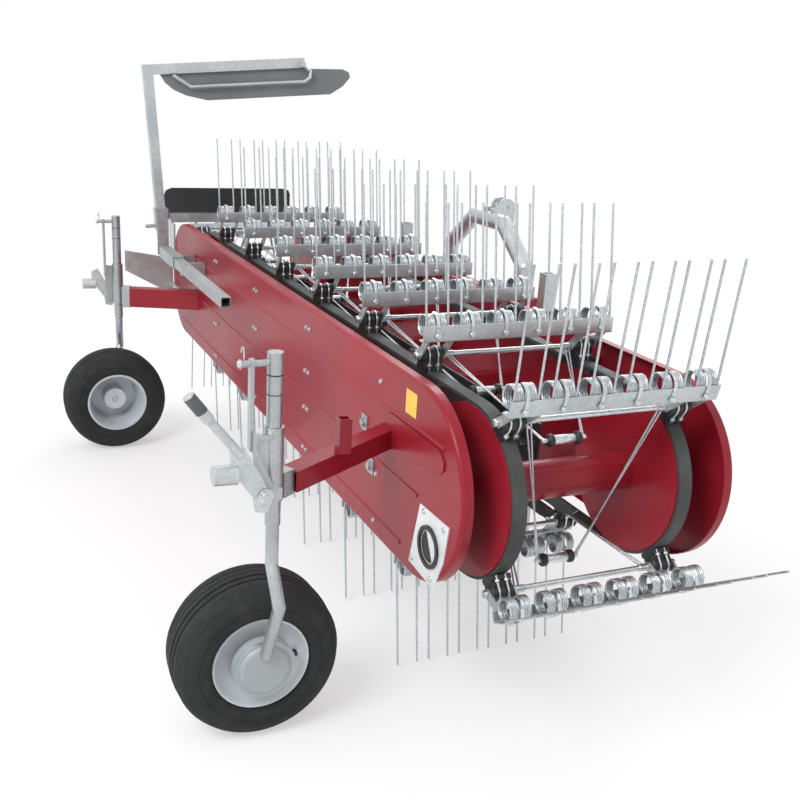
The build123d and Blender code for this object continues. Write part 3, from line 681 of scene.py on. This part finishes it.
make("clamps", clamp_shape, (bush_rubber, bright_zinc), "frame", ("belt_clamps",))

# Panel fittings
# Galvanised bolt heads stand in pairs along the wheel side panel, with two bosses on square washers between
# them, a blank yellow plate near its end, and the red gusset that the near wheel arm is welded to.
yellow_plate = plain("yellow_plate", (0.78, 0.46, 0.03), (0.86, 0.54, 0.05), 0.38, 14.0, 500.0, 0.0001, 0.3)
bolt_columns = ((972, (0,)), (410, (-14, 14)), (-146, (-14, 14)), (-700, (-14, 14)))
bolt_heights = (838, 702, 585, 452)
boss_places = ((878, 697), (933, 594))
boss_half_wide = 19
boss_half_high = 22
boss_base = 3
small_bolt = lathe_form([(7.5, 0), (7.5, 1.5), (6.0, 1.6), (6.0, 5.0), (4.8, 6.0)], 12)
boss = lathe_form([(15, 0), (15, 3), (11, 3.2), (11, 9), (9, 10)], 6)
fittings = Shape()
for x, steps in bolt_columns:
    for z in bolt_heights:
        for step in steps:
            fittings.add(small_bolt, pointing((x + step, 0, z), (0, -1, 0)), 0)
for x, z in boss_places:
    fittings.add(box_form(x - boss_half_wide, x + boss_half_wide, -boss_base, 0,
                          z - boss_half_high, z + boss_half_high), None, 1)
    fittings.add(boss, pointing((x, -boss_base, z), (0, -1, 0)), 1)
make("panel_bolts", fittings, (galvanised, dull_zinc), "frame")
plate = Shape()
plate.add(box_form(1124, 1184, -1.1, -0.1, 807, 867))
make("blank_plate", plate, (yellow_plate,), "frame")
gusset_sheet = 4.0
gusset_outline = [(1035, 683), (1035, 776), (1070, 779), (1318, 779), (1345, 758), (1346, 738), (1330, 725),
                  (1050, 683)]
gusset = Shape()
upright = Matrix(((1, 0, 0, 0), (0, 0, -1, 0), (0, 1, 0, 0), (0, 0, 0, 1)))
gusset.add(plate_form(gusset_outline, gusset_sheet), upright)
make("arm_gusset", gusset, (red,), "frame")


# Tyres
# Plain ribbed rubber tyres: five flat ribs with four grooves between them, rounded shoulders, and two moulded
# rings on each side wall.
def ring_form(profile, sides=24):
    points = []
    faces = []
    count = len(profile)
    for radius, height in profile:
        for i in range(sides):
            a = 2 * math.pi * i / sides
            points.append((radius * math.cos(a), radius * math.sin(a), height))
    for k in range(count):
        n = (k + 1) % count
        for i in range(sides):
            j = (i + 1) % sides
            faces.append((k * sides + i, k * sides + j, n * sides + j, n * sides + i))
    return points, faces


tyre_rubber = plain("tyre_rubber", (0.009, 0.010, 0.010), (0.019, 0.020, 0.020), 0.85, 10.0, 380.0, 0.0008)
dress_slot("tyre_rubber", tyre_rubber)
wheel_y = -369.0
tyre_radius = 209.0
rib_pitch = 21.0
rib_half = 8.0
rib_crown = 208.8
rib_fall = 1.4
groove_radius = 201.0
rib_profile = []
for k in range(-2, 3):
    y = k * rib_pitch
    top = rib_crown - abs(k) * rib_fall
    rib_profile += [(top - 0.2, y - rib_half), (top, y + rib_half)]
    if k < 2:
        rib_profile += [(groove_radius, y + rib_half + 1), (groove_radius, y + rib_pitch - rib_half - 1)]
wall = [(203, 55), (198, 68), (188, 77.5), (182, 79.5), (180, 82), (169, 86.8), (156, 87.2), (154, 85.3),
        (151, 85.3), (149, 86.8), (134, 85), (130.5, 82), (126.5, 82), (123, 73)]
tyre_profile = [(r, -y) for r, y in reversed(wall)] + rib_profile + wall
wheels = (("near", near_axis - 160.0, "wheel_near_body", 1), ("far", far_axis + 270.0, "wheel_far_body", -1))
for name, x, body, side in wheels:
    tyre = Shape()
    tyre.add(ring_form(tyre_profile, 72), pointing((x, wheel_y, tyre_radius), (1, 0, 0)))
    make("tyre_" + name + "_ribbed", tyre, (tyre_rubber,), body, ("tyre_" + name,), 28.0)

# Rims
# Pressed steel rims painted silver: rolled lip, stepped well, a dished disc with a pressed ring round the
# hub and five bolts, and a rubber valve.
rim_paint = plain("rim_paint", (0.44, 0.48, 0.51), (0.54, 0.58, 0.61), 0.34, 5.0, 400.0, 0.0002, 0.3, 0.15)
dress_slot("rim_paint", rim_paint)
rim_profile = [(122, -77), (114, -77.5), (106, -66), (98, 30), (92, 49.5), (45, 49.5), (45, -20), (13, -20),
               (13, 63), (26, 63.2), (31, 61.5), (34, 58), (36, 57.2), (52, 57.5), (55, 60), (61, 60),
               (64, 57.5), (86, 57.5), (96, 61), (102, 64), (110, 69), (116, 76.5), (118, 77.8),
               (120.5, 77.8), (122, 76)]
hub_profile = [(16, 62), (22, 62), (22, 66), (20, 67.5), (16, 67.5)]
rim_bolt = lathe_form([(6.5, 57), (6.5, 61.5), (5, 63)], 12)
rim_bolt_circle = 43
rim_bolt_count = 5
rim_bolt_start = 0.3
valve = [(88, 10, 55), (90, 10, 66), (87, 10, 80)]
valve_radius = 4
for name, x, body, side in wheels:
    rim = Shape()
    turned = pointing((x, wheel_y, tyre_radius), (side, 0, 0))
    rim.add(ring_form(rim_profile, 72), turned)
    rim.add(ring_form(hub_profile, 40), turned)
    for k in range(rim_bolt_count):
        a = 2 * math.pi * k / rim_bolt_count + rim_bolt_start
        place = (rim_bolt_circle * math.cos(a), rim_bolt_circle * math.sin(a), 0)
        rim.add(rim_bolt, turned @ Matrix.Translation(place))
    rim.add(tube_form(valve, valve_radius, 10), turned, 1)
    make("rim_" + name + "_pressed", rim, (rim_paint, bush_rubber), body, ("rim_" + name,))

# Wheel cups
# A grey painted steel bowl over the wheel's hub on the leg's side. The foot of the leg is welded to it, so it
# goes with the leg and does not turn.
cup_paint = plain("cup_paint", (0.30, 0.33, 0.345), (0.36, 0.39, 0.405), 0.36, 5.0, 400.0, 0.0002, 0.2)
cup_profile = [(75.1, 73.6), (75.6, 74.0), (75.6, 97.0), (74.0, 100.6), (70.5, 102.2), (64.5, 102.4),
               (63.0, 106.0), (60.5, 109.0), (56.5, 110.8), (50.0, 111.5), (1.0, 111.5)]
for name, x, body, side in wheels:
    cup = Shape()
    cup.add(lathe_form(cup_profile, 56), pointing((x, wheel_y, tyre_radius), (side, 0, 0)))
    make("cup_cover_" + name, cup, (cup_paint,), body.replace("wheel", "leg"))

# Height gear fittings
# On each lever a bright pivot pin with its washer and a brass tip, and a welded web beside the sleeve. On
# each leg two dark collars and a spring clip through its top pin. The near lever has a grey rubber grip.
grip_rubber = plain("grip_rubber", (0.060, 0.064, 0.068), (0.100, 0.105, 0.108), 0.55, 20.0, 500.0, 0.0005)
brass = plain("brass", (0.52, 0.38, 0.14), (0.66, 0.50, 0.20), 0.30, 20.0, 500.0, 0.0002, 0.0, 0.9)
pivot_pin = lathe_form([(17, 0), (17, 2.5), (11, 2.6), (11, 9), (9, 10), (5, 10), (5, 14), (3.5, 15)], 20)
pivot_tip = lathe_form([(4.9, 0), (4.9, 2), (4, 3)], 14)
top_bolt = lathe_form([(11, 0), (11, 2), (8, 2.1), (8, 6), (6, 7)], 6)
high_collar = ring_form([(17.6, -1.4), (18.1, -1.4), (18.1, 1.4), (17.6, 1.4)], 28)
low_collar = ring_form([(17.6, -1.0), (18.0, -1.0), (18.0, 1.0), (17.6, 1.0)], 28)
clip_wire = 1.8
web_sheet = 4.0
gear = {"near": Shape(), "far": Shape()}
leg_gear = {"near": Shape(), "far": Shape()}
leg_sites = (("near", near_axis, -375.0, 710.0, 1015.0, 1), ("far", -1150.0, -314.0, 613.0, 955.0, -1))
for name, x, y, arm_z, top, side in leg_sites:
    pin = Vector((x + side * 30, y - 28, arm_z - 5))
    gear[name].add(pivot_pin, pointing(pin + Vector((side * 6.5, 0, 0)), (side, 0, 0)), 1)
    gear[name].add(pivot_tip, pointing(pin + Vector((side * 20.5, 0, 0)), (side, 0, 0)), 2)
    leg_gear[name].add(top_bolt, pointing((x, y - 75, top - 23), (0, -1, 0)), 0)
    hook = [(x, y - 68, top - 14), (x + 5, y - 69, top + 2), (x + 2, y - 70, top + 14),
            (x - 7, y - 71, top + 10), (x - 8, y - 71, top)]
    leg_gear[name].add(tube_form(hook, clip_wire, 8), None, 0)
    leg_gear[name].add(high_collar, Matrix.Translation((x, y, top - 49)), 1)
    leg_gear[name].add(low_collar, Matrix.Translation((x, y, top - 92)), 1)
    web = [(-52, arm_z + 132), (-12, arm_z + 128), (-12, arm_z + 100), (10, arm_z + 14), (14, arm_z - 24),
           (-42, arm_z - 22), (-44, arm_z + 10), (-52, arm_z + 95)]
    turned = Matrix(((0, 0, 1, x + min(side * 15, side * 11)), (1, 0, 0, y), (0, 1, 0, 0), (0, 0, 0, 1)))
    gear[name].add(plate_form(web, web_sheet), turned, 0)
grip_radius = 13.8
grip = [(1290, -375 - 164, 710 + 194.5), (1290, -375 - 166, 710 + 197.5), (1290, -375 - 190.5, 710 + 229.5)]
gear["near"].add(tube_form(grip, grip_radius, 24), None, 3)
for name in ("near", "far"):
    make("lever_fittings_" + name, gear[name], (dull_zinc, bright_zinc, brass, grip_rubber), "frame")
    make("leg_fittings_" + name, leg_gear[name], (bright_zinc, bush_rubber), "leg_" + name + "_body")

# Cover plate
# A pale galvanised sheet low on the near end, held by four bolts at its corners. Beside its round opening a
# half disc of dark rubber sheet is painted shade, standing for the shadow inside the opening.
cover_zinc = zinc("cover_zinc", (0.78, 0.80, 0.81), (0.86, 0.88, 0.89), 0.45, 0.25, 190.0)
dress_nodes(("cover_plate", "cover_cap"), cover_zinc)
cover_face = -4
shade_disc_radius = 38
shade_disc_sheet = 1.2
cover_bolts_and_shade_disc = Shape()
for dx, dz in ((8, -42), (112, -44), (64, -192), (-40, -186)):
    cover_bolts_and_shade_disc.add(small_bolt, pointing((near_axis + dx, cover_face, axis_height + dz), (0, -1, 0)), 0)
# Painted shade: a thin dark half disc laid where the inside of the round opening falls in shadow.
shade_half_disc = [(shade_disc_radius * math.cos(math.radians(a)), shade_disc_radius * math.sin(math.radians(a)))
             for a in range(120, 301, 12)]
cover_bolts_and_shade_disc.add(plate_form(shade_half_disc, shade_disc_sheet),
                pointing((near_axis + 44, cover_face + 0.4, axis_height - 118), (0, -1, 0)), 1)
make("cover_bolts_and_shade_disc", cover_bolts_and_shade_disc, (bright_zinc, sheet_rubber), "frame")

scene.view_settings.view_transform = "Standard"
